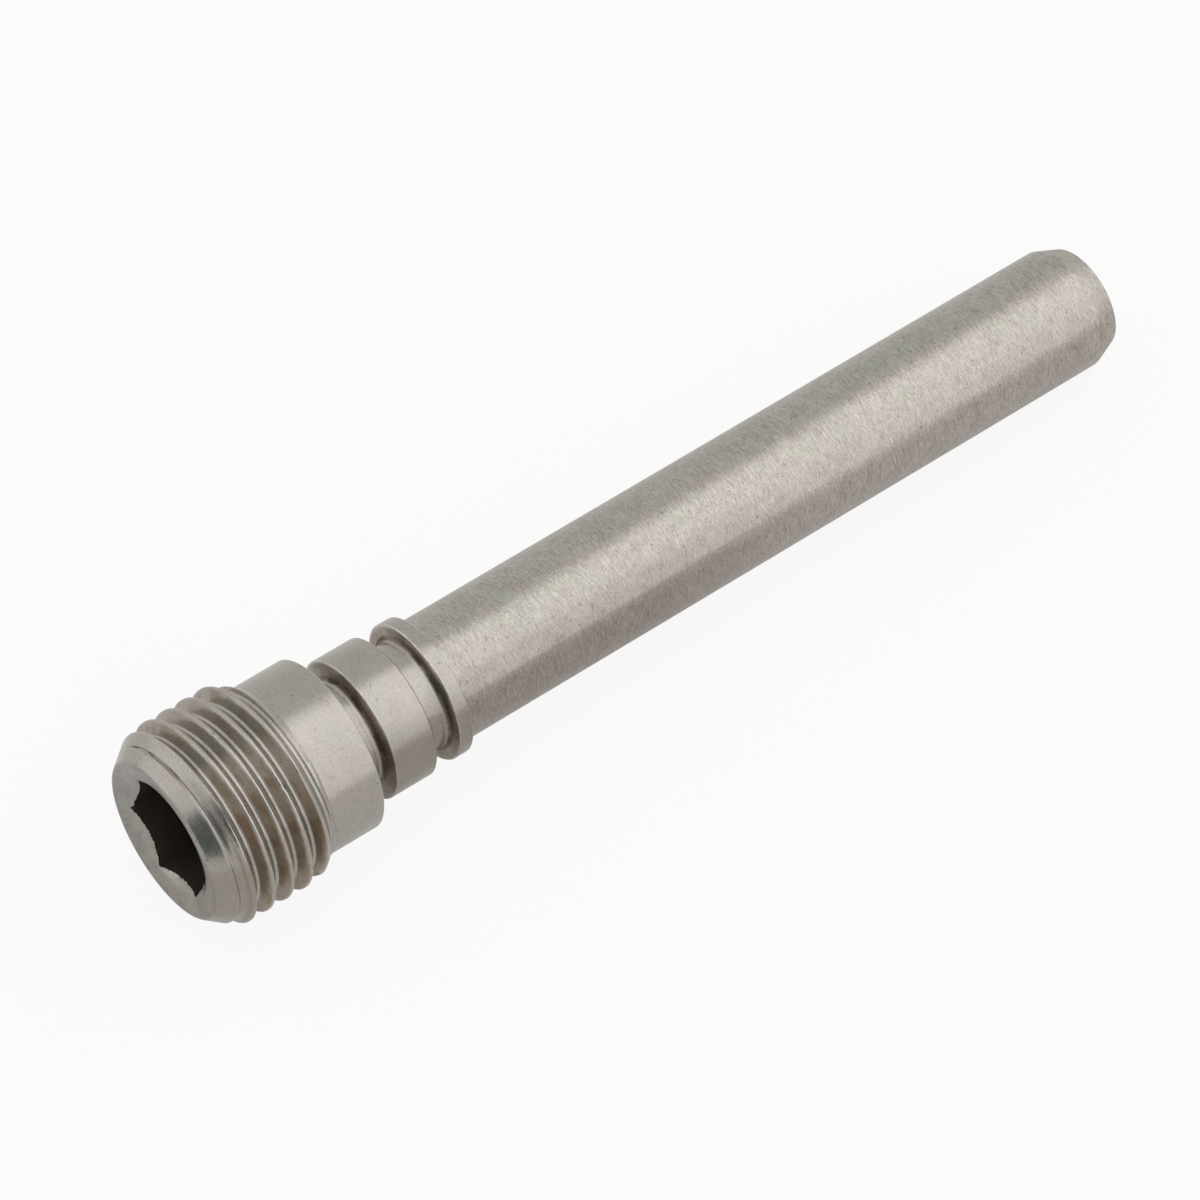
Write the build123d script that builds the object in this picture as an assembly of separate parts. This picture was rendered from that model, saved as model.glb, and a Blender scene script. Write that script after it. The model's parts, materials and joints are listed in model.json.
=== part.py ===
from build123d import *
from math import atan2, degrees, radians, tan
import os

# Brake pad pin: one piece of turned steel, in millimetres.
# It screws into a brake caliper by the thread on its head, and two brake pads hang and slide on its shank.
# The pin is drawn along +X, from the rim of its socket end at X = 0 to its tip.
# It is then laid down as it rests on a table, on its thread and on the tip end of its shank.

# --- Head: dished face with a hexagon socket ---
rim_radius = 3.85          # narrow ring round the face that stands furthest out
rim_rounding = 0.3
dish_slope = 16.5          # degrees, how far the face falls away from the rim towards the socket
key_flats = 5.06           # hexagon socket for a 5 mm key, across its flats
key_turn = 13.5            # degrees, from straight up to the nearest corner of the hexagon, towards -Y
key_depth = 5.2            # from the rim to the end of the flats
pilot_radius = 2.45        # hole that was drilled before the hexagon was broached
pilot_depth = 6.0          # from the rim to the end of the drilled wall
drill_point = 118.0        # degrees, at the bottom of the pilot hole

# --- Thread M10 x 1: its blank, at the diameter over the crests ---
thread_radius = 4.92
thread_length = 3.9        # full diameter, between the two tapers
lead_taper = 1.4           # from the rim to the first full crest
runout_taper = 1.0         # from the last full crest down to the land

# --- Land, snap groove, band, second groove and flange ---
land_radius = 4.24
land_length = 2.64
snap_groove_radius = 2.5
snap_groove_width = 1.24
band_radius = 3.48
band_length = 2.2
seal_groove_radius = 2.65
seal_groove_width = 1.3
flange_radius = 3.42
flange_thickness = 0.74
groove_corner = 0.3        # tool radius left at the bottom of both grooves
edge_break = 0.05          # on the edges of the land, the band and the flange

# --- Shank and tip ---
shank_radius = 3.0
shank_length = 36.68
tip_radius = 2.52
tip_taper = 1.2
shoulder_rounding = 0.5    # where the shank meets the taper of its tip
tip_rounding = 0.12

# --- Stations along the axis, from the rim to the tip ---
thread_start = lead_taper
thread_end = thread_start + thread_length
land_start = thread_end + runout_taper
land_end = land_start + land_length
band_start = land_end + snap_groove_width
band_end = band_start + band_length
flange_start = band_end + seal_groove_width
flange_end = flange_start + flange_thickness
shank_end = flange_end + shank_length
tip_end = shank_end + tip_taper


def dish_depth(radius):
    """Distance that the dished face lies behind the rim, at a radius from the axis."""
    return (rim_radius - radius) * tan(radians(dish_slope))


def turned_blank():
    """The pin as it leaves the lathe: the outer profile and the dished face, turned about the axis."""
    # each corner: station, radius from the axis, rounding
    corners = [
        (0, rim_radius, rim_rounding),
        (thread_start, thread_radius, 0),
        (thread_end, thread_radius, 0),
        (land_start, land_radius, 0),
        (land_end - edge_break, land_radius, 0),
        (land_end, land_radius - edge_break, 0),
        (land_end, snap_groove_radius, groove_corner),
        (band_start, snap_groove_radius, groove_corner),
        (band_start, band_radius - edge_break, 0),
        (band_start + edge_break, band_radius, 0),
        (band_end - edge_break, band_radius, 0),
        (band_end, band_radius - edge_break, 0),
        (band_end, seal_groove_radius, groove_corner),
        (flange_start, seal_groove_radius, groove_corner),
        (flange_start, flange_radius - edge_break, 0),
        (flange_start + edge_break, flange_radius, 0),
        (flange_end - edge_break, flange_radius, 0),
        (flange_end, flange_radius - edge_break, 0),
        (flange_end, shank_radius, 0),
        (shank_end, shank_radius, shoulder_rounding),
        (tip_end, tip_radius, tip_rounding),
    ]
    points = [(station, radius) for station, radius, rounding in corners]
    roundings = [rounding for station, radius, rounding in corners]
    dish_centre = (dish_depth(0), 0)
    tip_centre = (tip_end, 0)
    outline = FilletPolyline(dish_centre, *points, tip_centre, radius=roundings)
    axis_line = Line(tip_centre, dish_centre)
    section = make_face(outline + axis_line)
    return revolve(section, Axis.X)


def socket():
    """What is cut out of the head: the drilled pilot hole with its conical end, and the hexagon."""
    point_length = pilot_radius / tan(radians(drill_point / 2))
    pilot_outline = Polyline(
        (0, 0),
        (0, pilot_radius),
        (pilot_depth, pilot_radius),
        (pilot_depth + point_length, 0),
        close=True,
    )
    pilot = revolve(make_face(pilot_outline), Axis.X)
    hexagon = RegularPolygon(key_flats / 2, 6, major_radius=False, rotation=key_turn)
    across_axis = Plane(origin=(0, 0, 0), x_dir=(0, 0, 1), z_dir=(1, 0, 0))
    return pilot + extrude(across_axis * hexagon, key_depth)


def laid_down(pin):
    """The pin as it lies: its axis dips from the thick end to the thin one, and both touch the table."""
    dip = degrees(atan2(thread_radius - shank_radius, shank_end - thread_end))
    tilted = Rot(0, dip, 0) * pin
    box = tilted.bounding_box()
    return Pos(-box.center().X, 0, -box.min.Z) * tilted


brake_pad_pin = laid_down(turned_blank() - socket())

os.makedirs("parts", exist_ok=True)
export_step(brake_pad_pin, "parts/brake_pad_pin.step")
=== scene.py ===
"""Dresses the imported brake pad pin: one turned steel piece with a thread and a hexagon socket in its head.

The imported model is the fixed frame. Its solid has the thread as a plain blank, so this script builds the
whole pin again around the same axis and at the same sizes, cuts the thread into the blank, finishes the
steel, and lights it on a pale floor.

The pin's own sizes are in millimetres. A station is a distance along its axis from the rim of the socket
end, a radius is taken from that axis, and an angle turns round it, from straight up towards +Y. Where the
axis lies is read from the record.
"""

from __future__ import annotations

import json
import logging
import math
import sys
from dataclasses import dataclass, field
from enum import Enum
from typing import Any, Optional, Sequence, Union

import bmesh
import bpy
from mathutils import Matrix, Vector, noise

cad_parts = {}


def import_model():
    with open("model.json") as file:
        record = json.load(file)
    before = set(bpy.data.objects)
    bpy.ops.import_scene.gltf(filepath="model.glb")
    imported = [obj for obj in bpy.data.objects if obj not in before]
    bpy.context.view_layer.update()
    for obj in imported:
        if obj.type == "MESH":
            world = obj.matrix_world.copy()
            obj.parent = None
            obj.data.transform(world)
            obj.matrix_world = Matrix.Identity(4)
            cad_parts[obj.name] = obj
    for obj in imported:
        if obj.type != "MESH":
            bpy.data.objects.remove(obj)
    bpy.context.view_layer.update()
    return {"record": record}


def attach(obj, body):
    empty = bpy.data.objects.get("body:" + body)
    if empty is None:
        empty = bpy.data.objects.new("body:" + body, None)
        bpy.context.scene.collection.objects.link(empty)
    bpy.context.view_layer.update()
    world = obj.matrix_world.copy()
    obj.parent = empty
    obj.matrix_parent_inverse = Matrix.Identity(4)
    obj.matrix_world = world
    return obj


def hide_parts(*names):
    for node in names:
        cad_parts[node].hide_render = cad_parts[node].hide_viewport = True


LOG = logging.getLogger("brake_pad_pin")

MM = 0.001  # metres in a millimetre
NODE = "brake_pad_pin"

Value = Union["Socket", float, int]


# --- Node trees written as expressions ---


class Socket:
    """The output of a node. Python's operators on it add Math nodes to its tree."""

    def __init__(self, graph: Graph, link: bpy.types.NodeSocket) -> None:
        """Keeps the tree that the output belongs to, and the output itself."""
        self.graph = graph
        self.link = link

    def math(self, operation: str, *values: Value, swapped: bool = False) -> Socket:
        """Adds a Math node.

        Args:
            operation: the node's operation, such as ADD.
            values: its other inputs, in order.
            swapped: whether this socket is the second input and not the first.

        Returns:
            The node's output.
        """
        ordered = [*values, self] if swapped else [self, *values]
        return self.graph.node("ShaderNodeMath", {"operation": operation}, dict(enumerate(ordered)))

    def __add__(self, other: Value) -> Socket:
        """Adds two values."""
        return self.math("ADD", other)

    def __sub__(self, other: Value) -> Socket:
        """Takes the other value from this one."""
        return self.math("SUBTRACT", other)

    def __rsub__(self, other: Value) -> Socket:
        """Takes this value from the other one."""
        return self.math("SUBTRACT", other, swapped=True)

    def __mul__(self, other: Value) -> Socket:
        """Multiplies two values."""
        return self.math("MULTIPLY", other)

    def __truediv__(self, other: Value) -> Socket:
        """Divides this value by the other one."""
        return self.math("DIVIDE", other)

    def __pow__(self, other: Value) -> Socket:
        """Raises this value to a power."""
        return self.math("POWER", other)

    def __neg__(self) -> Socket:
        """Changes the sign."""
        return self.math("MULTIPLY", -1.0)

    __radd__ = __add__
    __rmul__ = __mul__

    def at_most(self, other: Value) -> Socket:
        """The smaller of two values."""
        return self.math("MINIMUM", other)

    def at_least(self, other: Value) -> Socket:
        """The larger of two values."""
        return self.math("MAXIMUM", other)

    def ramp(self, start: float, end: float) -> Socket:
        """Rises smoothly from 0 to 1.

        Args:
            start: where it is still 0.
            end: where it reaches 1. It may lie below start.

        Returns:
            The value from 0 to 1.
        """
        if end < start:
            return 1.0 - self.ramp(end, start)
        settings = {"interpolation_type": "SMOOTHSTEP"}
        inputs = {"Value": self, "From Min": start, "From Max": end}
        return self.graph.node("ShaderNodeMapRange", settings, inputs)

    def inside(self, start: float, end: float, edge: float) -> Socket:
        """A mask that is 1 between two values.

        Args:
            start: the lower value.
            end: the upper value.
            edge: how far the mask takes to fade at each of them.

        Returns:
            The mask, from 0 to 1.
        """
        half = edge / 2
        return self.ramp(start - half, start + half) * self.ramp(end + half, end - half)


class Graph:
    """A node tree that is being built."""

    def __init__(self, tree: bpy.types.NodeTree) -> None:
        """Keeps the tree and empties it."""
        self.tree = tree
        tree.nodes.clear()

    def node(
        self,
        kind: str,
        settings: Optional[dict[str, Any]] = None,
        inputs: Optional[dict[Any, Any]] = None,
        output: Union[int, str] = 0,
    ) -> Socket:
        """Adds any node.

        Args:
            kind: the node's type.
            settings: its settings, set first. "curve" takes the points of a Float Curve.
            inputs: values or sockets for its inputs, by name or number.
            output: the output that is wanted.

        Returns:
            That output.
        """
        made = self.tree.nodes.new(kind)
        for name, value in (settings or {}).items():
            if name == "curve":
                self._shape_curve(made, value)
            else:
                setattr(made, name, value)
        for key, value in (inputs or {}).items():
            if isinstance(value, Socket):
                self.tree.links.new(value.link, made.inputs[key])
            else:
                made.inputs[key].default_value = value
        return Socket(self, made.outputs[output]) if len(made.outputs) else Socket(self, None)

    @staticmethod
    def _shape_curve(made: bpy.types.Node, points: Sequence[tuple[float, float]]) -> None:
        """Gives a Float Curve node straight runs between points.

        Args:
            made: the node.
            points: the curve's points, from 0 to 1 both ways, at least two of them.
        """
        curve = made.mapping.curves[0]
        for x, y in points[2:]:
            curve.points.new(x, y)
        for point, place in zip(curve.points, points):
            point.location = place
            point.handle_type = "VECTOR"
        made.mapping.update()

    def vector(self, x: Value, y: Value, z: Value) -> Socket:
        """Joins three values into a vector."""
        return self.node("ShaderNodeCombineXYZ", {}, {0: x, 1: y, 2: z})

    def parts(self, vector: Socket) -> tuple[Socket, Socket, Socket]:
        """Splits a vector into its three values."""
        first = self.node("ShaderNodeSeparateXYZ", {}, {0: vector})
        owner = first.link.node
        return first, Socket(self, owner.outputs[1]), Socket(self, owner.outputs[2])

    def measure(self, operation: str, first: Any, second: Any) -> Socket:
        """Takes a number from two vectors, such as their DISTANCE or their DOT_PRODUCT."""
        inputs = {0: first, 1: second}
        return self.node("ShaderNodeVectorMath", {"operation": operation}, inputs, output=1)

    def mix(self, factor: Value, first: Any, second: Any) -> Socket:
        """Mixes two colours.

        Args:
            factor: 0 gives the first, 1 the second.
            first: a colour, or a socket that has one.
            second: a colour, or a socket that has one.

        Returns:
            The mixed colour.
        """
        inputs = {0: factor, 6: _opaque(first), 7: _opaque(second)}
        return self.node("ShaderNodeMix", {"data_type": "RGBA"}, inputs, output=2)

    def grain(self, place: Socket, grain: Grain) -> Socket:
        """Noise over a surface.

        Args:
            place: the coordinates, in millimetres.
            grain: how coarse it is.

        Returns:
            The noise, mostly between 0.2 and 0.8.
        """
        stretch = (grain.along, grain.across, grain.across)
        scaled = self.node("ShaderNodeVectorMath", {"operation": "MULTIPLY"}, {0: place, 1: stretch})
        return self.node("ShaderNodeTexNoise", {}, {"Vector": scaled, "Scale": 1.0, "Detail": grain.detail})


@dataclass(frozen=True)
class Grain:
    """How many features of noise there are in a millimetre, and how many finer layers are added to them."""

    along: float
    across: float
    detail: float = 3.0


def _opaque(colour: Any) -> Any:
    """A colour of three numbers with its alpha of 1 added. A socket is left as it is."""
    return colour if isinstance(colour, Socket) else (*colour, 1.0)


def add_object(name: str, data: Any) -> bpy.types.Object:
    """Makes an object from its data and links it to the scene."""
    made = bpy.data.objects.new(name, data)
    bpy.context.scene.collection.objects.link(made)
    return made


# --- Sizes and place of the pin ---


class Hand(Enum):
    """Which way a thread winds, as the sign with which its station follows the angle."""

    RIGHT = -1.0
    LEFT = 1.0


@dataclass(frozen=True)
class Corner:
    """A corner of a turned outline."""

    station: float
    radius: float
    rounding: float = 0.0


@dataclass(frozen=True)
class PinSizes:
    """Sizes of the turned piece, and the stations that follow from them."""

    rim_radius: float = 3.85
    rim_rounding: float = 0.3
    dish_slope: float = 16.5
    key_flats: float = 5.06
    key_corner: float = -13.5
    key_depth: float = 5.2
    pilot_radius: float = 2.45
    pilot_depth: float = 6.0
    drill_point: float = 118.0
    thread_radius: float = 4.92
    thread_length: float = 3.9
    lead_taper: float = 1.4
    runout_taper: float = 1.0
    land_radius: float = 4.24
    land_length: float = 2.64
    snap_groove_radius: float = 2.5
    snap_groove_width: float = 1.24
    band_radius: float = 3.48
    band_length: float = 2.2
    seal_groove_radius: float = 2.65
    seal_groove_width: float = 1.3
    flange_radius: float = 3.42
    flange_thickness: float = 0.74
    groove_corner: float = 0.3
    edge_break: float = 0.05
    edge_rounding: float = 0.02
    shank_radius: float = 3.0
    shank_length: float = 36.68
    tip_radius: float = 2.52
    tip_taper: float = 1.2
    shoulder_rounding: float = 0.5
    tip_rounding: float = 0.12

    @property
    def thread_end(self) -> float:
        """Station of the last full crest."""
        return self.lead_taper + self.thread_length

    @property
    def land_start(self) -> float:
        """Station where the thread's run-out meets the land."""
        return self.thread_end + self.runout_taper

    @property
    def land_end(self) -> float:
        """Station of the land's far edge."""
        return self.land_start + self.land_length

    @property
    def band_start(self) -> float:
        """Station of the band's near edge."""
        return self.land_end + self.snap_groove_width

    @property
    def band_end(self) -> float:
        """Station of the band's far edge."""
        return self.band_start + self.band_length

    @property
    def flange_start(self) -> float:
        """Station of the flange's near face."""
        return self.band_end + self.seal_groove_width

    @property
    def flange_end(self) -> float:
        """Station of the flange's far face."""
        return self.flange_start + self.flange_thickness

    @property
    def shank_end(self) -> float:
        """Station where the shank begins to taper."""
        return self.flange_end + self.shank_length

    @property
    def tip_end(self) -> float:
        """Station of the tip."""
        return self.shank_end + self.tip_taper

    def dish_depth(self, radius: float) -> float:
        """Distance that the dished face lies behind the rim, at a radius."""
        return (self.rim_radius - radius) * math.tan(math.radians(self.dish_slope))

    @property
    def lead_slope(self) -> float:
        """Radius gained per station on the taper in front of the thread."""
        return (self.thread_radius - self.rim_radius) / self.lead_taper

    @property
    def runout_slope(self) -> float:
        """Radius lost per station on the taper behind the thread."""
        return (self.thread_radius - self.land_radius) / self.runout_taper

    def lead_radius(self, station: float) -> float:
        """Radius of the lead taper at a station."""
        return self.rim_radius + self.lead_slope * station


@dataclass(frozen=True)
class PinFrame:
    """Where the pin's axis lies in the row frame, in millimetres."""

    start: Vector
    axis: Vector

    @classmethod
    def from_record(cls, record: dict[str, Any], sizes: PinSizes) -> PinFrame:
        """Reads the axis from the shank's mount, whose place is the middle of the shank's length.

        Args:
            record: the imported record.
            sizes: the pin's sizes.

        Returns:
            The frame, with its start on the axis at the rim.
        """
        shank = next(mount for mount in record["mounts"] if mount["name"] == "shank")
        axis = Vector(shank["axis"]).normalized()
        middle = sizes.flange_end + shank["dims"]["length_mm"] / 2
        return cls(Vector(shank["pos_m"]) / MM - axis * middle, axis)

    @property
    def dip(self) -> float:
        """Angle by which the axis falls below +X, in radians."""
        return math.asin(-self.axis.z)

    def matrix(self) -> Matrix:
        """Takes a point in the pin's own millimetres to the row frame in metres."""
        turn = Matrix.Rotation(self.dip, 4, "Y")
        return Matrix.Scale(MM, 4) @ Matrix.Translation(self.start) @ turn


def around(station: float, radius: float, angle: float) -> Vector:
    """A point from its station, its radius and its angle in radians."""
    return Vector((station, radius * math.sin(angle), radius * math.cos(angle)))


def rounded(corners: Sequence[Corner], arc_step: float = 12.0) -> list[tuple[float, float]]:
    """Draws an outline with arcs at its corners.

    Args:
        corners: the corners in order. The first and last have no rounding.
        arc_step: the most that the outline turns at one point of an arc, in degrees.

    Returns:
        The stations and radii of the outline's points.
    """
    points = [(corners[0].station, corners[0].radius)]
    for before, corner, after in zip(corners, corners[1:], corners[2:]):
        here = Vector((corner.station, corner.radius))
        back = (Vector((before.station, before.radius)) - here).normalized()
        ahead = (Vector((after.station, after.radius)) - here).normalized()
        half_angle = back.angle(ahead) / 2
        if corner.rounding == 0:
            points.append((corner.station, corner.radius))
            continue
        centre = here + (back + ahead).normalized() * (corner.rounding / math.sin(half_angle))
        first = here + back * (corner.rounding / math.tan(half_angle)) - centre
        last = here + ahead * (corner.rounding / math.tan(half_angle)) - centre
        sweep = first.angle_signed(last)
        steps = max(2, math.ceil(math.degrees(abs(sweep)) / arc_step))
        for step in range(steps + 1):
            spoke = first.copy()
            spoke.rotate(Matrix.Rotation(-sweep * step / steps, 2))
            points.append((centre.x + spoke.x, centre.y + spoke.y))
    points.append((corners[-1].station, corners[-1].radius))
    return points


def add_rings(
    solid: bmesh.types.BMesh, rings: Sequence[Sequence[Vector]], pole: Optional[Vector] = None
) -> None:
    """Adds a closed band of faces to a mesh.

    Args:
        solid: the mesh.
        rings: rings of points, all with the same number, in order along the axis.
        pole: a point on the axis that closes the last ring.
    """
    made = [[solid.verts.new(point) for point in ring] for ring in rings]
    count = len(made[0])
    for near, far in zip(made, made[1:]):
        for column in range(count):
            following = (column + 1) % count
            solid.faces.new((near[column], near[following], far[following], far[column]))
    if pole is not None:
        tip = solid.verts.new(pole)
        for column in range(count):
            solid.faces.new((made[-1][column], made[-1][(column + 1) % count], tip))


# --- The thread ---


@dataclass(frozen=True)
class Nick:
    """A small dent in the crests of the thread."""

    station: float
    angle: float
    reach: float
    depth: float


@dataclass(frozen=True)
class RolledThread:
    """The thread M10 x 1: rows of points that follow its helix, made by a node tree."""

    sizes: PinSizes
    columns: int
    hand: Hand = Hand.RIGHT
    pitch: float = 1.0
    crest_station: float = 2.265
    crest_half_width: float = 0.07
    crest_flat: float = 0.6
    crest_drop: float = 0.003
    flank_angle: float = 30.0
    depth: float = 0.6134
    root_radius: float = 0.155
    first_station: float = 0.4
    grow_from: float = 0.5
    full_from: float = 1.8
    seam: float = 0.05
    crease_rows: tuple[float, float] = (0.45, 0.55)
    crease_edge: float = 0.08
    crease_from: tuple[float, float] = (0.6, 0.74)
    crease_depth: float = 0.075
    blend: float = 0.03
    wear: float = 0.02
    wear_spared: float = 0.35
    wear_seed: int = 3
    weld: float = 0.004
    nick: Nick = Nick(station=4.45, angle=-38.0, reach=0.24, depth=0.07)

    def form(self) -> list[tuple[float, float]]:
        """One pitch of the thread's section.

        Returns:
            Shares of the pitch from one crest's middle to the next, with the depth there below the crests.
        """
        flank = math.tan(math.radians(self.flank_angle))
        half = [(0.0, 0.0), (self.crest_half_width * self.crest_flat, self.crest_drop)]
        root_centre = self.depth - self.root_radius
        arc = []
        for turn in (90 - self.flank_angle, 45.0, 30.0, 15.0, 0.0):
            sweep = math.radians(turn)
            offset = 0.5 - self.root_radius * math.sin(sweep)
            arc.append((offset, root_centre + self.root_radius * math.cos(sweep)))
        flank_end = arc[0][0]
        for share in (0.0, 0.33, 0.67):
            offset = self.crest_half_width + (flank_end - self.crest_half_width) * share
            half.append((offset, arc[0][1] - (flank_end - offset) / flank))
        half += arc
        return half + [(1 - offset, depth) for offset, depth in half[-2::-1]]

    def tree(self, steel: bpy.types.Material) -> bpy.types.NodeTree:
        """Builds the node tree.

        Args:
            steel: the material that it sets.

        Returns:
            The tree, whose output is the thread's surface in the pin's own millimetres.
        """
        tree = bpy.data.node_groups.new("rolled_thread", "GeometryNodeTree")
        for name in ("Rows", "Columns", "Seed"):
            tree.interface.new_socket(name, in_out="INPUT", socket_type="NodeSocketInt")
        lengths = ("Pitch", "Crest Station", "Crest Radius", "Depth", "Start", "End", "Wear")
        for name in ("Turns", "First Turn", *lengths):
            tree.interface.new_socket(name, in_out="INPUT", socket_type="NodeSocketFloat")
        tree.interface.new_socket("Mesh", in_out="OUTPUT", socket_type="NodeSocketGeometry")
        graph = Graph(tree)
        owner = graph.node("NodeGroupInput").link.node
        given = {socket.name: Socket(graph, socket) for socket in owner.outputs if socket.name}

        counts = {"Vertices X": given["Rows"], "Vertices Y": given["Columns"] + 1}
        grid = graph.node("GeometryNodeMeshGrid", {}, {**counts, "Size X": 1.0, "Size Y": 1.0})
        across, along, _ = graph.parts(graph.node("GeometryNodeInputPosition"))
        turn = given["First Turn"] + (across + 0.5) * given["Turns"]
        angle = (along + 0.5) * math.tau + math.radians(self.sizes.key_corner)

        whole = turn.math("FLOOR")
        row = turn - whole
        form = self.form()
        count = len(form) - 1
        offsets = [(index / count, offset) for index, (offset, _) in enumerate(form)]
        depths = [(index / count, depth / self.depth) for index, (_, depth) in enumerate(form)]
        offset = graph.node("ShaderNodeFloatCurve", {"curve": offsets}, {"Value": row})
        sink = graph.node("ShaderNodeFloatCurve", {"curve": depths}, {"Value": row}) * given["Depth"]

        helix = whole + offset + angle * (self.hand.value / math.tau)
        free = given["Crest Station"] + helix * given["Pitch"]
        station = free.at_least(given["Start"]).at_most(given["End"])

        sine = angle.math("SINE")
        cosine = angle.math("COSINE")
        crest = given["Crest Radius"]
        noise_place = graph.vector(helix * 0.9, sine * 3.0, cosine * 3.0)
        noise_inputs = {"Vector": noise_place, "W": given["Seed"], "Scale": 1.6, "Detail": 2.0}
        wobble = graph.node("ShaderNodeTexNoise", {"noise_dimensions": "4D"}, noise_inputs)
        worn = (wobble - self.wear_spared).at_least(0.0) * given["Wear"]
        cut = crest - sink - worn * (1.0 - sink / given["Depth"])
        lead = self.sizes.rim_radius + station * self.sizes.lead_slope
        runout = crest - (station - self.sizes.thread_end) * self.sizes.runout_slope
        blank = lead.at_most(runout).at_most(crest)
        radius = cut.math("SMOOTH_MIN", blank, self.blend)
        formed = station.ramp(self.grow_from, self.full_from)
        crease = offset.inside(*self.crease_rows, self.crease_edge) * (1.0 - formed)
        crease = crease * station.ramp(*self.crease_from) * self.crease_depth
        radius = radius * formed + blank * (1.0 - formed) - crease
        inner = station.ramp(self.first_station, self.first_station + self.seam)
        inner = inner * station.ramp(self.sizes.land_start, self.sizes.land_start - self.seam)
        radius = radius * inner + blank * (1.0 - inner)

        dent = around(self.nick.station, self.sizes.thread_radius, math.radians(self.nick.angle))
        place = graph.vector(station, radius * sine, radius * cosine)
        gap = graph.measure("DISTANCE", place, tuple(dent))
        radius = radius - gap.ramp(self.nick.reach, 0.0) * self.nick.depth

        place = graph.vector(station, radius * sine, radius * cosine)
        moved = graph.node("GeometryNodeSetPosition", {}, {"Geometry": grid, "Position": place})
        welded = graph.node("GeometryNodeMergeByDistance", {}, {"Geometry": moved, "Distance": self.weld})
        real = graph.node("GeometryNodeRealizeInstances", {}, {"Geometry": welded})
        dressed = graph.node("GeometryNodeSetMaterial", {}, {"Geometry": real, "Material": steel})
        graph.node("NodeGroupOutput", {}, {"Mesh": dressed})
        return tree

    def surface(self, steel: bpy.types.Material) -> bpy.types.Mesh:
        """Runs the tree.

        Args:
            steel: the pin's material.

        Returns:
            The thread's surface as a plain mesh, open at both ends, in the pin's own millimetres.
        """
        corner_share = math.radians(self.sizes.key_corner) * self.hand.value / math.tau
        rows_in_pitch = len(self.form()) - 1
        lowest = (self.first_station - self.crest_station) / self.pitch - corner_share
        highest = (self.sizes.land_start - self.crest_station) / self.pitch - corner_share + 1
        first_turn = math.floor(lowest)
        turns = math.ceil(highest) - first_turn
        values = {
            "Rows": turns * rows_in_pitch + 1,
            "Columns": self.columns,
            "Seed": self.wear_seed,
            "Pitch": self.pitch,
            "Turns": float(turns),
            "First Turn": float(first_turn),
            "Crest Station": self.crest_station,
            "Crest Radius": self.sizes.thread_radius,
            "Depth": self.depth,
            "Start": self.first_station,
            "End": self.sizes.land_start,
            "Wear": self.wear,
        }
        carrier = add_object("thread_rows", bpy.data.meshes.new("thread_rows"))
        modifier = carrier.modifiers.new("rolled_thread", "NODES")
        modifier.node_group = self.tree(steel)
        for item in modifier.node_group.interface.items_tree:
            if item.in_out == "INPUT":
                modifier[item.identifier] = values[item.name]
        bpy.context.view_layer.update()
        evaluated = carrier.evaluated_get(bpy.context.evaluated_depsgraph_get())
        mesh = bpy.data.meshes.new_from_object(evaluated)
        carrier.modifiers.remove(modifier)
        bpy.data.objects.remove(carrier)
        return mesh


# --- The socket end and the turned body ---


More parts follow.
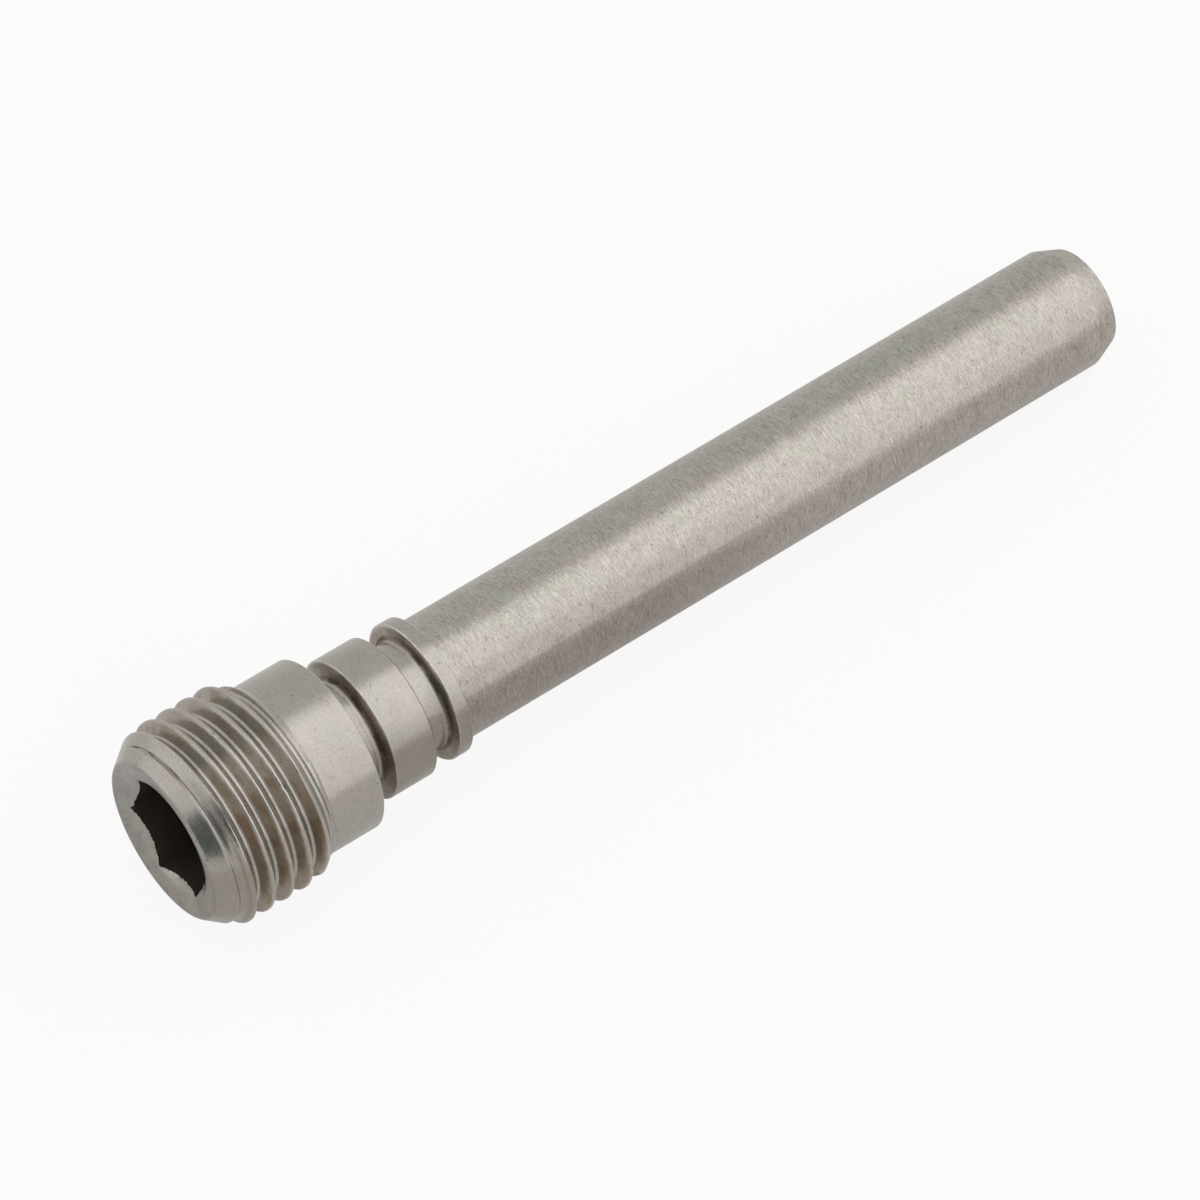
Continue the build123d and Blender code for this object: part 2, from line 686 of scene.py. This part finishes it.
@dataclass(frozen=True)
class SocketEnd:
    """The dished face with its rim, and the broached hexagon with the drilled hole behind it."""

    sizes: PinSizes
    columns: int
    start: float
    dish_outer: float = 3.35
    dish_rows: int = 4
    wall_rows: int = 14
    bevel_radius: float = 2.95
    bevel_slope: float = 35.0
    bevel_rows: int = 3
    mouth_break: float = 0.02
    raggedness: float = 0.08
    chatter: float = 0.012
    corner_radius: float = 2.93

    def angles(self) -> list[float]:
        """Angles of the columns, the first of them through a corner of the hexagon."""
        first = math.radians(self.sizes.key_corner)
        return [first + math.tau * column / self.columns for column in range(self.columns)]

    def hexagon(self, angle: float) -> float:
        """Radius of the hexagon at an angle, with its corners a little worn."""
        sixth = math.tau / 6
        turned = (angle - math.radians(self.sizes.key_corner)) % sixth
        return min(self.sizes.key_flats / 2 / math.cos(turned - sixth / 2), self.corner_radius)

    def mouth(self, angle: float) -> float:
        """Radius of the ragged edge where the hexagon opens into the face."""
        spot = Vector((math.sin(angle), math.cos(angle), 0.0))
        coarse = noise.noise(spot * 7.0)
        fine = noise.noise(spot * 24.0 + Vector((0.0, 0.0, 4.0)))
        ragged = self.hexagon(angle) + self.mouth_break + self.raggedness * (coarse + fine)
        return min(ragged, self.bevel_radius - 0.01)

    def bevel_depth(self, radius: float) -> float:
        """Distance behind the rim of the bevel round the hexagon, at a radius inside the dished face."""
        steep = math.tan(math.radians(self.bevel_slope))
        return self.sizes.dish_depth(self.bevel_radius) + (self.bevel_radius - radius) * steep

    def wall(self, station: float, angle: float) -> float:
        """Radius of the hexagon's wall, with the marks that the broach leaves along it."""
        spot = Vector((math.sin(angle) * 9.0, math.cos(angle) * 9.0, station * 0.35))
        return self.hexagon(angle) - self.chatter * abs(noise.noise(spot))

    def rings(self) -> list[list[Vector]]:
        """Rings from the thread's first station over the rim, down the dish and into the socket."""
        sizes = self.sizes
        angles = self.angles()
        outline = rounded(
            [
                Corner(self.start, sizes.lead_radius(self.start)),
                Corner(0.0, sizes.rim_radius, sizes.rim_rounding),
                Corner(sizes.dish_depth(self.dish_outer), self.dish_outer),
            ],
            arc_step=9.0,
        )
        rings = [[around(station, radius, angle) for angle in angles] for station, radius in outline]
        for row in range(1, self.dish_rows + 1):
            radius = self.dish_outer + (self.bevel_radius - self.dish_outer) * row / self.dish_rows
            rings.append([around(sizes.dish_depth(radius), radius, angle) for angle in angles])
        for row in range(1, self.bevel_rows + 1):
            share = row / self.bevel_rows
            radii = [self.bevel_radius + (self.mouth(angle) - self.bevel_radius) * share for angle in angles]
            places = zip(radii, angles)
            rings.append([around(self.bevel_depth(radius), radius, angle) for radius, angle in places])
        lip = [self.bevel_depth(self.mouth(angle)) + self.mouth_break for angle in angles]
        rings.append([around(depth, self.wall(depth, angle), angle) for depth, angle in zip(lip, angles)])
        for row in range(1, self.wall_rows + 1):
            share = row / self.wall_rows
            depths = [depth + (sizes.key_depth - depth) * share for depth in lip]
            places = zip(depths, angles)
            rings.append([around(depth, self.wall(depth, angle), angle) for depth, angle in places])
        for station in (sizes.key_depth, sizes.pilot_depth):
            rings.append([around(station, sizes.pilot_radius, angle) for angle in angles])
        return rings

    def pole(self) -> Vector:
        """The bottom of the drilled hole."""
        half_point = math.radians(self.sizes.drill_point / 2)
        return around(self.sizes.pilot_depth + self.sizes.pilot_radius / math.tan(half_point), 0.0, 0.0)


@dataclass(frozen=True)
class TurnedBody:
    """The land, the two grooves with the band between them, the flange, the shank and the tip."""

    sizes: PinSizes
    angles: Sequence[float]
    shank_rows: int = 30

    def outline(self) -> list[tuple[float, float]]:
        """Stations and radii from the end of the thread's run-out to the face of the tip."""
        sizes = self.sizes
        soft = sizes.edge_rounding
        corners = [Corner(sizes.land_start, sizes.land_radius)]
        corners += self._far_edge(sizes.land_end, sizes.land_radius, sizes.snap_groove_radius)
        corners += self._near_edge(sizes.band_start, sizes.snap_groove_radius, sizes.band_radius)
        corners += self._far_edge(sizes.band_end, sizes.band_radius, sizes.seal_groove_radius)
        corners += self._near_edge(sizes.flange_start, sizes.seal_groove_radius, sizes.flange_radius)
        corners += self._far_edge(sizes.flange_end, sizes.flange_radius, sizes.shank_radius, soft)
        for row in range(1, self.shank_rows):
            station = sizes.flange_end + sizes.shank_length * row / self.shank_rows
            corners.append(Corner(station, sizes.shank_radius))
        corners.append(Corner(sizes.shank_end, sizes.shank_radius, sizes.shoulder_rounding))
        corners.append(Corner(sizes.tip_end, sizes.tip_radius, sizes.tip_rounding))
        corners.append(Corner(sizes.tip_end, sizes.tip_radius / 3))
        return rounded(corners)

    def _far_edge(
        self, station: float, outer: float, inner: float, tool: Optional[float] = None
    ) -> list[Corner]:
        """Corners of a step down.

        Args:
            station: where it is.
            outer: the radius in front of it.
            inner: the radius behind it.
            tool: the rounding at its foot, or None for that of the grooves.

        Returns:
            Its corners, the two of its broken edge first.
        """
        edge, soft = self.sizes.edge_break, self.sizes.edge_rounding
        foot = self.sizes.groove_corner if tool is None else tool
        broken = [Corner(station - edge, outer, soft), Corner(station, outer - edge, soft)]
        return [*broken, Corner(station, inner, foot)]

    def _near_edge(self, station: float, inner: float, outer: float) -> list[Corner]:
        """Corners of a step up, from the rounding at its foot to the two of its broken edge."""
        edge, soft = self.sizes.edge_break, self.sizes.edge_rounding
        foot = self.sizes.groove_corner
        broken = [Corner(station, outer - edge, soft), Corner(station + edge, outer, soft)]
        return [Corner(station, inner, foot), *broken]

    def rings(self) -> list[list[Vector]]:
        """Rings of the outline."""
        places = self.outline()
        return [[around(station, radius, angle) for angle in self.angles] for station, radius in places]

    def pole(self) -> Vector:
        """The middle of the tip's face."""
        return around(self.sizes.tip_end, 0.0, 0.0)


# --- Finishes ---


@dataclass(frozen=True)
class Finish:
    """How one zone of the pin looks."""

    colour: tuple[float, float, float]
    roughness: float


@dataclass(frozen=True)
class Tint:
    """A colour laid over part of the steel, and its share of the mix."""

    colour: tuple[float, float, float]
    share: float


@dataclass(frozen=True)
class HeadAndShank:
    """A number that is one on the head and another on the shank."""

    head: float
    shank: float


@dataclass(frozen=True)
class PinSteel:
    """The pin's steel: ground shank, turned head, old oil in the thread and the grooves, and painted shade
    in the socket and along the lower side.
    """

    sizes: PinSizes
    frame: PinFrame
    ground: Finish = Finish((0.425, 0.395, 0.362), 0.27)
    turned: Finish = Finish((0.425, 0.398, 0.368), 0.22)
    faced: Finish = Finish((0.325, 0.308, 0.288), 0.32)
    tip: Finish = Finish((0.46, 0.43, 0.39), 0.42)
    stained: Finish = Finish((0.265, 0.200, 0.145), 0.34)
    caked: Finish = Finish((0.085, 0.065, 0.045), 0.55)
    # Painted shade: the inside of the socket, darkened nearly to black.
    socket_shade: Finish = Finish((0.075, 0.062, 0.050), 0.7)
    green: Tint = Tint((0.365, 0.380, 0.325), 0.6)
    pink: Tint = Tint((0.425, 0.380, 0.360), 0.6)
    worn: Tint = Tint((0.60, 0.57, 0.53), 0.7)
    # Painted shade with a brown tint: it darkens the lower side, where the steel mirrors the floor.
    painted_lower_shade: Tint = Tint((0.240, 0.205, 0.172), 0.62)
    pitted: Tint = Tint((0.13, 0.105, 0.085), 0.4)
    cloud: Grain = Grain(0.45, 0.6)
    blotch: Grain = Grain(1.3, 1.1)
    smear: Grain = Grain(1.6, 0.9, 4.0)
    fine: Grain = Grain(22.0, 2.6)
    broad: Grain = Grain(5.0, 1.1, 2.0)
    speck: Grain = Grain(12.0, 12.0)
    pits: Grain = Grain(4.5, 4.5, 2.0)
    # The way the lower side faces. That side carries painted shade, and more stain on the thread's flanks.
    shade_and_stain_side: tuple[float, float] = (-0.985, -0.174)
    fine_middle: float = 0.48
    streaks: HeadAndShank = HeadAndShank(0.4, 1.3)
    specks: HeadAndShank = HeadAndShank(1.0, 0.8)
    mottle: float = 0.4
    shading: HeadAndShank = HeadAndShank(0.495, 0.9)
    broad_roughness: float = 0.16
    speck_roughness: float = 0.1
    marks: HeadAndShank = HeadAndShank(0.0045, 0.0140)
    mask_edge: float = 0.04

    def material(self) -> bpy.types.Material:
        """Builds the material."""
        steel = bpy.data.materials.new("steel")
        steel.use_nodes = True
        graph = Graph(steel.node_tree)
        sizes = self.sizes
        place = self._pin_place(graph)
        station, side, up = graph.parts(place)
        radius = (side * side + up * up) ** 0.5
        normal = graph.node("ShaderNodeTexCoord", output="Normal")
        facing = graph.measure("DOT_PRODUCT", normal, tuple(self.frame.axis))
        downwards = (side * self.shade_and_stain_side[0] + up * self.shade_and_stain_side[1]) / radius

        grains = (self.cloud, self.blotch, self.smear, self.fine, self.broad, self.speck, self.pits)
        cloud, blotch, smear, fine, broad, speck, pits = (graph.grain(place, grain) for grain in grains)

        shank = self._on_shank(station)
        face = facing.ramp(-0.66, -0.94) * station.ramp(1.0, 0.8)
        tip = station.ramp(sizes.shank_end - 0.1, sizes.shank_end + 0.2)
        mouth = facing.ramp(-0.6, -0.3) * station.ramp(0.2, 0.25)
        drilled_end = station.ramp(8.2, 8.0)
        # Painted shade: the socket's walls, its hole and the inner bevel of its mouth are darkened nearly to
        # black.
        socket = station.ramp(0.9, 1.1).at_least(mouth) * drilled_end * radius.ramp(3.0, 2.95)
        stain, cake = self._dirt(station, radius, facing, downwards, smear)

        def from_head(numbers: HeadAndShank) -> Socket:
            """The number that holds where the surface is."""
            return shank * (numbers.shank - numbers.head) + numbers.head

        lower = downwards.ramp(0.25, 0.45) * shank
        greenish = (cloud * 0.5 + blotch * 0.5).ramp(0.50, 0.60) * (self.green.share - 0.3 * lower)
        pinkish = (smear * 0.5 + blotch * 0.5).ramp(0.50, 0.42) * self.pink.share
        rubbed = self._worn_edges(station, radius) * smear.ramp(0.3, 0.5)
        pit = pits.ramp(0.66, 0.72) * (self.pitted.share + 0.3 * tip)
        # Painted shade: the lower side is darkened and browned, with its edge where the reflection turns
        # from the tent to the floor.
        painted_lower_shade = self._painted_lower_shade(station, downwards, fine)
        ends = [(face, self.faced), (tip, self.tip)]
        tints = [
            (greenish, self.green),
            (pinkish.at_least(0.5 * lower), self.pink),
            (rubbed * self.worn.share, self.worn),
            (pit, self.pitted),
            (painted_lower_shade * self.painted_lower_shade.share, self.painted_lower_shade),
        ]
        # Old oil in the thread and the grooves, and painted shade in the socket.
        dirt_and_shade = [(stain, self.stained), (cake, self.caked), (socket, self.socket_shade)]
        colour = self.turned.colour
        for share, layer in [(shank, self.ground), *ends, *tints, *dirt_and_shade]:
            colour = graph.mix(share, colour, layer.colour)
        grain = (fine - self.fine_middle) * from_head(self.streaks) + (speck - 0.5) * from_head(self.specks)
        shade = 1.0 + (grain + (blotch - 0.5) * self.mottle) * from_head(self.shading)
        colour = graph.node("ShaderNodeVectorMath", {"operation": "SCALE"}, {0: colour, 3: shade})

        roughness = from_head(HeadAndShank(self.turned.roughness, self.ground.roughness))
        roughness = roughness + (broad - 0.5) * self.broad_roughness + (speck - 0.5) * self.speck_roughness
        for zone, finish in [*ends, *dirt_and_shade]:
            roughness = roughness + zone * (finish.roughness - self.turned.roughness)

        height = (fine + broad * 0.8 + speck * 0.35) * from_head(self.marks)
        bumped = graph.node("ShaderNodeBump", {}, {"Strength": 1.0, "Distance": MM, "Height": height})
        shader = graph.node(
            "ShaderNodeBsdfPrincipled",
            {},
            {"Base Color": colour, "Metallic": 1.0, "Roughness": roughness, "Normal": bumped},
        )
        graph.node("ShaderNodeOutputMaterial", {}, {"Surface": shader})
        return steel

    def _on_shank(self, station: Socket) -> Socket:
        """A mask of the shank and the tip, which starts at the flange's far face."""
        half = self.mask_edge / 2
        return station.ramp(self.sizes.flange_end - half, self.sizes.flange_end + half)

    def _dirt(
        self, station: Socket, radius: Socket, facing: Socket, downwards: Socket, smear: Socket
    ) -> tuple[Socket, Socket]:
        """Masks of the old oil and dirt on the outside of the pin.

        Args:
            station: the station of each point.
            radius: its radius.
            facing: -1 where the surface faces the socket end, 1 where it faces the tip.
            downwards: 1 along the lower side and -1 opposite to it.
            smear: uneven noise.

        Returns:
            The thin brown stain, and the dark crust in the corners of the grooves.
        """
        sizes = self.sizes
        patches = smear.ramp(0.45, 0.62)
        crest = sizes.thread_radius
        thread = station.inside(0.5, sizes.land_start + 0.1, 0.3) * radius.ramp(3.5, 3.6)
        flank = thread * radius.ramp(crest - 0.01, crest - 0.06) * facing.ramp(-0.7, -0.82)
        snap_foot = self._corner(station, radius, sizes.band_start, sizes.snap_groove_radius)
        seal_foot = self._corner(station, radius, sizes.flange_start, sizes.seal_groove_radius)
        snap_wall = self._near_wall(station, radius, sizes.band_start, sizes.band_radius)
        seal_wall = self._near_wall(station, radius, sizes.flange_start, sizes.flange_radius)
        foot = station.inside(sizes.flange_end - 0.02, sizes.flange_end + 0.07, self.mask_edge)
        foot = foot * radius.ramp(3.35, 3.2)
        crease = station.inside(0.65, 1.1, 0.1) * facing.ramp(-0.68, -0.76) * radius.ramp(3.95, 4.05)
        flank_share = 0.22 + 0.45 * patches + 0.45 * downwards.ramp(0.2, 0.7)
        wall = snap_wall.at_least(seal_wall) * (0.4 + 0.4 * patches)
        thin = (flank * flank_share).at_most(1.0).at_least(wall)
        crust = snap_foot.at_least(seal_foot) * (0.45 + 0.4 * patches)
        return thin.at_least(foot * 0.8), crust.at_least(crease * (0.3 + 0.4 * patches))

    def _near_wall(self, station: Socket, radius: Socket, wall: float, outer: float) -> Socket:
        """A mask of a wall that faces the socket end, from its station and the radius of its edge."""
        return station.inside(wall - 0.12, wall + 0.01, self.mask_edge) * radius.ramp(outer, outer - 0.3)

    def _worn_edges(self, station: Socket, radius: Socket) -> Socket:
        """A mask of the edges that have been rubbed bright.

        Args:
            station: the station of each point.
            radius: its radius.

        Returns:
            The mask, from 0 to 1.
        """
        sizes = self.sizes
        worn = self._far_rim(station, sizes.land_end) * radius.ramp(4.1, 4.15)
        for start, end, outer in (
            (sizes.band_start, sizes.band_end, sizes.band_radius),
            (sizes.flange_start, sizes.flange_end, sizes.flange_radius),
        ):
            near = station.inside(start - 0.02, start + 0.08, self.mask_edge)
            edges = near.at_least(self._far_rim(station, end))
            worn = worn.at_least(edges * radius.ramp(outer - 0.14, outer - 0.09))
        return worn

    def _far_rim(self, station: Socket, end: float) -> Socket:
        """A mask of the edge where a collar ends at the given station."""
        return station.inside(end - 0.06, end + 0.02, self.mask_edge)

    def _painted_lower_shade(self, station: Socket, downwards: Socket, fine: Socket) -> Socket:
        """A mask of painted shade with a brown tint, low on the side, strongest from the snap groove to the
        shank's middle.

        Args:
            station: the station of each point.
            downwards: 1 along the lower side and -1 opposite to it.
            fine: the marks round the axis, which make the edge of the painted shade ragged.

        Returns:
            The mask, from 0 to 1.
        """
        sizes = self.sizes
        shank = self._on_shank(station)
        near_head = station.ramp(36.0, 24.0)
        edge = (downwards + (fine - 0.5) * 0.08).ramp(0.71, 0.75)
        light = downwards.ramp(0.36, 0.54) * near_head * 0.4
        far_share = 0.18 * downwards.ramp(0.95, 0.85)
        on_shank = (edge * (near_head * 0.78 + far_share)).at_least(light)
        on_head = downwards.ramp(0.45, 0.85) * station.ramp(sizes.land_end, sizes.band_start)
        on_taper = downwards.ramp(0.76, 0.88) * station.ramp(2.0, 1.4) * 0.7
        return on_head * (1.0 - shank) * 0.89 + on_shank * shank + on_taper

    @staticmethod
    def _corner(station: Socket, radius: Socket, wall: float, floor: float, reach: float = 0.2) -> Socket:
        """A mask round the corner where a groove's floor meets its far wall.

        Args:
            station: the station of each point.
            radius: its radius.
            wall: station of the wall.
            floor: radius of the floor.
            reach: distance at which the mask has faded.

        Returns:
            The mask, from 0 to 1.
        """
        ahead = station - (wall - 0.05)
        above = radius - (floor + 0.1)
        return ((ahead * ahead + above * above) ** 0.5).ramp(reach, 0.05)

    def _pin_place(self, graph: Graph) -> Socket:
        """Coordinates along the pin's own axis, in millimetres.

        Args:
            graph: the material's tree.

        Returns:
            The station, the side and the height above the axis, as a vector.
        """
        objects = graph.node("ShaderNodeTexCoord", output="Object")
        inputs = {
            "Vector": objects,
            "Location": tuple(self.frame.start * MM),
            "Rotation": (0.0, self.frame.dip, 0.0),
            "Scale": (MM, MM, MM),
        }
        return graph.node("ShaderNodeMapping", {"vector_type": "TEXTURE"}, inputs)


# --- The pin ---


@dataclass
class BrakePadPin:
    """The whole pin as one closed mesh."""

    frame: PinFrame
    sizes: PinSizes = field(default_factory=PinSizes)
    columns: int = 288
    weld: float = 0.0015
    sharp_angle: float = 32.0

    def build(self) -> bpy.types.Object:
        """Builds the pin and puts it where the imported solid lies.

        Returns:
            The pin's object, at the origin.
        """
        steel = PinSteel(self.sizes, self.frame).material()
        thread = RolledThread(self.sizes, self.columns)
        socket_end = SocketEnd(self.sizes, self.columns, thread.first_station)
        body = TurnedBody(self.sizes, socket_end.angles())

        solid = bmesh.new()
        solid.from_mesh(thread.surface(steel))
        add_rings(solid, socket_end.rings(), socket_end.pole())
        add_rings(solid, body.rings(), body.pole())
        bmesh.ops.remove_doubles(solid, verts=solid.verts, dist=self.weld)
        bmesh.ops.dissolve_degenerate(solid, edges=solid.edges, dist=self.weld / 10)
        bmesh.ops.recalc_face_normals(solid, faces=solid.faces)
        for face in solid.faces:
            face.smooth = True
        open_edges = sum(not edge.is_manifold for edge in solid.edges)
        LOG.info("pin: %d faces, %d open edges", len(solid.faces), open_edges)

        mesh = bpy.data.meshes.new("threaded_pin")
        solid.to_mesh(mesh)
        solid.free()
        mesh.transform(self.frame.matrix())
        mesh.materials.clear()
        mesh.materials.append(steel)
        mesh.set_sharp_from_angle(angle=math.radians(self.sharp_angle))
        return add_object("threaded_pin", mesh)


# --- Floor, light and camera ---


@dataclass(frozen=True)
class Studio:
    """A pale floor under a light tent that is brighter on one side, and the camera."""

    floor_size: float = 4.0
    floor_colour: tuple[float, float, float] = (0.63, 0.61, 0.585)
    floor_glow: float = 0.90
    floor_glow_in_steel: float = 0.35
    horizon_level: float = 1.06
    overhead_rise: float = 0.30
    tip_side_rise: float = 0.35
    dim_level: float = 0.75
    dim_head_side_rise: float = 0.45
    side_edge: tuple[float, float] = (-0.45, -0.14)
    tent_colour: tuple[float, float, float] = (1.0, 0.995, 0.985)
    dark_panel: Vector = Vector((-0.755, -0.532, 0.377))
    dark_panel_reach: float = 23.5
    dark_panel_edge: float = 6.0
    dark_panel_share: float = 0.79
    dark_panel_colour: tuple[float, float, float] = (0.88, 0.98, 1.0)
    camera_turn: float = -37.532
    camera_lift: float = 54.394
    camera_distance: float = 302.38
    camera_target: Vector = Vector((-2.61, -0.69, 4.0))
    lens: float = 202.39

    def build_floor(self) -> bpy.types.Object:
        """Makes the floor, as a thin sheet at the height that the pin lies on."""
        half = self.floor_size / 2
        corners = [(-half, -half, 0.0), (half, -half, 0.0), (half, half, 0.0), (-half, half, 0.0)]
        mesh = bpy.data.meshes.new("floor")
        mesh.from_pydata(corners, [], [(0, 1, 2, 3)])
        paper = bpy.data.materials.new("paper")
        paper.use_nodes = True
        graph = Graph(paper.node_tree)
        matt = graph.node("ShaderNodeBsdfDiffuse", {}, {"Color": _opaque(self.floor_colour)})
        glow = graph.node("ShaderNodeEmission", {}, {"Color": (1.0, 1.0, 1.0, 1.0), "Strength": 1.0})
        looked_at = graph.node("ShaderNodeLightPath", output="Is Camera Ray")
        rays = looked_at.link.node.outputs
        mirrored = Socket(graph, rays["Is Glossy Ray"]).at_least(Socket(graph, rays["Is Transmission Ray"]))
        share = (looked_at * self.floor_glow).at_least(mirrored * self.floor_glow_in_steel)
        mixed = graph.node("ShaderNodeMixShader", {}, {0: share, 1: matt, 2: glow})
        graph.node("ShaderNodeOutputMaterial", {}, {"Surface": mixed})
        mesh.materials.append(paper)
        return add_object("floor", mesh)

    def light_tent(self) -> None:
        """Lights everything from a world whose level depends on the direction."""
        world = bpy.data.worlds.new("light_tent")
        world.use_nodes = True
        graph = Graph(world.node_tree)
        direction = graph.node("ShaderNodeTexCoord", output="Generated")

        def facing(way: Vector) -> Socket:
            """How far the direction faces a given way, from -1 to 1."""
            return graph.measure("DOT_PRODUCT", direction, tuple(way.normalized()))

        across = facing(Vector((0.0, -1.0, 0.0)))
        up = facing(Vector((0.0, 0.0, 1.0)))
        along = facing(Vector((1.0, 0.0, 0.0)))
        bright = up.at_least(0.0) ** 2 * self.overhead_rise + along * self.tip_side_rise + self.horizon_level
        dim = (-along).at_least(0.0) * self.dim_head_side_rise + self.dim_level
        level = dim + across.ramp(*self.side_edge) * (bright - dim)
        outer = math.cos(math.radians(self.dark_panel_reach + self.dark_panel_edge))
        inner = math.cos(math.radians(self.dark_panel_reach - self.dark_panel_edge))
        panel = facing(self.dark_panel).ramp(outer, inner)
        level = level * (1.0 - panel * self.dark_panel_share)
        tint = graph.mix(panel, self.tent_colour, self.dark_panel_colour)
        background = graph.node("ShaderNodeBackground", {}, {"Color": tint, "Strength": level})
        graph.node("ShaderNodeOutputWorld", {}, {"Surface": background})
        bpy.context.scene.world = world

    def camera(self) -> None:
        """Puts the camera where its turn, lift and distance from its target say."""
        turn = math.radians(self.camera_turn)
        lift = math.radians(self.camera_lift)
        back = Vector((math.sin(turn) * math.cos(lift), -math.cos(turn) * math.cos(lift), math.sin(lift)))
        data = bpy.data.cameras.new("camera")
        data.lens = self.lens
        data.clip_start = 0.01
        data.clip_end = 50.0
        camera = add_object("camera", data)
        camera.location = (self.camera_target + back * self.camera_distance) * MM
        camera.rotation_euler = (math.pi / 2 - lift, 0.0, turn)
        bpy.context.scene.camera = camera


def main() -> None:
    """Loads the frame and builds the pin and its studio around it."""
    logging.basicConfig(level=logging.INFO, format="%(name)s: %(message)s", stream=sys.stdout)
    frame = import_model()
    sizes = PinSizes()
    pin_frame = PinFrame.from_record(frame["record"], sizes)
    pin = BrakePadPin(pin_frame, sizes).build()
    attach(pin, "root")
    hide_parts(NODE)

    studio = Studio()
    studio.build_floor()
    studio.light_tent()
    studio.camera()
    bpy.context.scene.view_settings.view_transform = "Standard"


if __name__ == "__main__":
    main()
